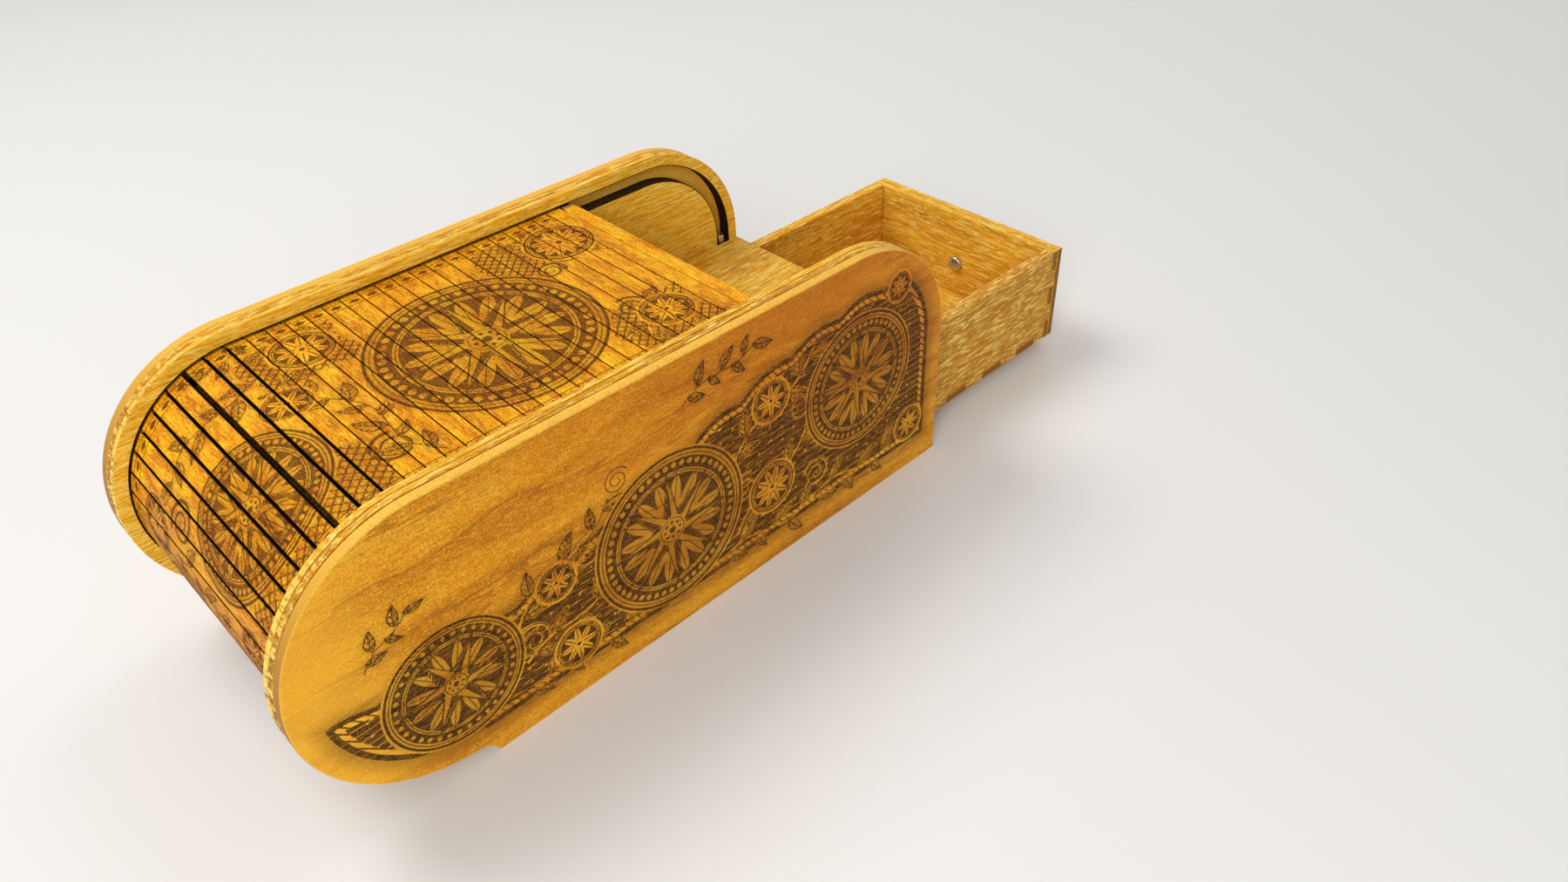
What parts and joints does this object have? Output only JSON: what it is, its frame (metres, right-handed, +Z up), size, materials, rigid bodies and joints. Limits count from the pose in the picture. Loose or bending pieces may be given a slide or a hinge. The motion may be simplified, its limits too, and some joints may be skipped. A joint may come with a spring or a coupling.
{
  "type": "tambour pencil box",
  "caption": "Wooden pencil box with rounded ends, a slatted tambour lid that runs in side grooves, and a drawer below that moves with it.",
  "frame": {"origin": "under the middle of the case's length and width, on the plane that it stands on", "axes": "+X along the case towards the drawer's opening, +Y across it, +Z up"},
  "size_m": [0.3272, 0.109, 0.093],
  "materials": {
    "veneer": "smooth honey-stained veneer with burnt engraving, satin",
    "oak": "oiled honey oak with long open pores, satin",
    "slats": "amber-stained wood slats with burnt engraving, satin",
    "knob_wood": "turned and oiled wood",
    "cloth": "thin black woven cloth, matt",
    "steel": "bright nickel-plated steel"
  },
  "bodies": {
    "case": {"bottom_board": "oak", "compartment_floor": "oak", "end_wall": "oak", "far_groove_magnet": "steel", "far_liner_inner": "oak", "far_liner_outer": "oak", "far_skin": "veneer", "near_groove_magnet": "steel", "near_liner_inner": "oak", "near_liner_outer": "oak", "near_skin": "veneer"},
    "drawer": {"bottom_curtain": "slats", "drawer_back": "oak", "drawer_bottom": "oak", "drawer_face": "oak", "drawer_front": "oak", "drawer_knob": "knob_wood", "drawer_side_far": "oak", "drawer_side_near": "oak", "knob_screw": "steel", "tail_bar": "oak"},
    "lid_top": {"far_nose_magnet": "steel", "lid_cloth": "cloth", "near_nose_magnet": "steel", "nose_slat": "slats", "top_slat_01": "slats", "top_slat_02": "slats", "top_slat_03": "slats", "top_slat_04": "slats", "top_slat_05": "slats", "top_slat_06": "slats", "top_slat_07": "slats", "top_slat_08": "slats", "top_slat_09": "slats", "top_slat_10": "slats", "top_slat_11": "slats", "top_slat_12": "slats", "top_slat_13": "slats", "top_slat_14": "slats", "top_slat_15": "slats", "top_slat_16": "slats", "top_slat_17": "slats", "top_slat_18": "slats", "top_slat_19": "slats", "top_slat_20": "slats"},
    "lid_bend": {"bend_curtain_1": "slats", "bend_curtain_2": "slats", "bend_curtain_3": "slats"},
    "lower_slat_1": {"lower_slat_1": "slats"},
    "lower_slat_2": {"lower_slat_2": "slats"},
    "lower_slat_3": {"lower_slat_3": "slats"},
    "lower_slat_4": {"lower_slat_4": "slats"},
    "lower_slat_5": {"lower_slat_5": "slats"},
    "upper_slat_1": {"upper_slat_1": "slats"},
    "upper_slat_2": {"upper_slat_2": "slats"},
    "upper_slat_3": {"upper_slat_3": "slats"},
    "upper_slat_4": {"upper_slat_4": "slats"},
    "upper_slat_5": {"upper_slat_5": "slats"}
  },
  "joints": [
    {"name": "drawer_slide", "type": "slide", "parent": "case", "child": "drawer", "axis": [1, 0, 0], "range_m": [-0.031, 0]},
    {"name": "lid_slide", "type": "slide", "parent": "case", "child": "lid_top", "axis": [1, 0, 0], "range_m": [0, 0.031]},
    {"name": "bend_turn", "type": "hinge", "parent": "case", "child": "lid_bend", "pos_m": [-0.071, 0, 0.049], "axis": [0, -1, 0], "range_deg": [-49.68, 0]},
    {"name": "upper_slat_1_turn", "type": "hinge", "parent": "case", "child": "upper_slat_1", "pos_m": [-0.05795, 0, -0.14113], "axis": [0, -1, 0], "range_deg": [-7.85, 0]},
    {"name": "upper_slat_2_turn", "type": "hinge", "parent": "case", "child": "upper_slat_2", "pos_m": [-0.06075, 0, -0.0203], "axis": [0, -1, 0], "range_deg": [-16.83, 0]},
    {"name": "upper_slat_3_turn", "type": "hinge", "parent": "case", "child": "upper_slat_3", "pos_m": [-0.06385, 0, 0.01895], "axis": [0, -1, 0], "range_deg": [-26.77, 0]},
    {"name": "upper_slat_4_turn", "type": "hinge", "parent": "case", "child": "upper_slat_4", "pos_m": [-0.06665, 0, 0.03551], "axis": [0, -1, 0], "range_deg": [-35.74, 0]},
    {"name": "upper_slat_5_turn", "type": "hinge", "parent": "case", "child": "upper_slat_5", "pos_m": [-0.06945, 0, 0.04523], "axis": [0, -1, 0], "range_deg": [-44.72, 0]},
    {"name": "lower_slat_1_turn", "type": "hinge", "parent": "case", "child": "lower_slat_1", "pos_m": [-0.06841, 0, 0.05587], "axis": [0, -1, 0], "range_deg": [-41.37, 0]},
    {"name": "lower_slat_2_turn", "type": "hinge", "parent": "case", "child": "lower_slat_2", "pos_m": [-0.06561, 0, 0.06757], "axis": [0, -1, 0], "range_deg": [-32.39, 0]},
    {"name": "lower_slat_3_turn", "type": "hinge", "parent": "case", "child": "lower_slat_3", "pos_m": [-0.06281, 0, 0.08854], "axis": [0, -1, 0], "range_deg": [-23.42, 0]},
    {"name": "lower_slat_4_turn", "type": "hinge", "parent": "case", "child": "lower_slat_4", "pos_m": [-0.06001, 0, 0.13576], "axis": [0, -1, 0], "range_deg": [-14.44, 0]},
    {"name": "lower_slat_5_turn", "type": "hinge", "parent": "case", "child": "lower_slat_5", "pos_m": [-0.05721, 0, 0.33785], "axis": [0, -1, 0], "range_deg": [-5.47, 0]}
  ],
  "couplings": [
    {"joint": "lid_slide", "follows": "drawer_slide", "ratio": -1},
    {"joint": "bend_turn", "follows": "drawer_slide", "rad_per_m": 27.972},
    {"joint": "upper_slat_1_turn", "follows": "drawer_slide", "rad_per_m": 4.4214},
    {"joint": "upper_slat_2_turn", "follows": "drawer_slide", "rad_per_m": 9.4744},
    {"joint": "upper_slat_3_turn", "follows": "drawer_slide", "rad_per_m": 15.069},
    {"joint": "upper_slat_4_turn", "follows": "drawer_slide", "rad_per_m": 20.122},
    {"joint": "upper_slat_5_turn", "follows": "drawer_slide", "rad_per_m": 25.175},
    {"joint": "lower_slat_1_turn", "follows": "drawer_slide", "rad_per_m": 23.291},
    {"joint": "lower_slat_2_turn", "follows": "drawer_slide", "rad_per_m": 18.238},
    {"joint": "lower_slat_3_turn", "follows": "drawer_slide", "rad_per_m": 13.185},
    {"joint": "lower_slat_4_turn", "follows": "drawer_slide", "rad_per_m": 8.1317},
    {"joint": "lower_slat_5_turn", "follows": "drawer_slide", "rad_per_m": 3.0787}
  ]
}
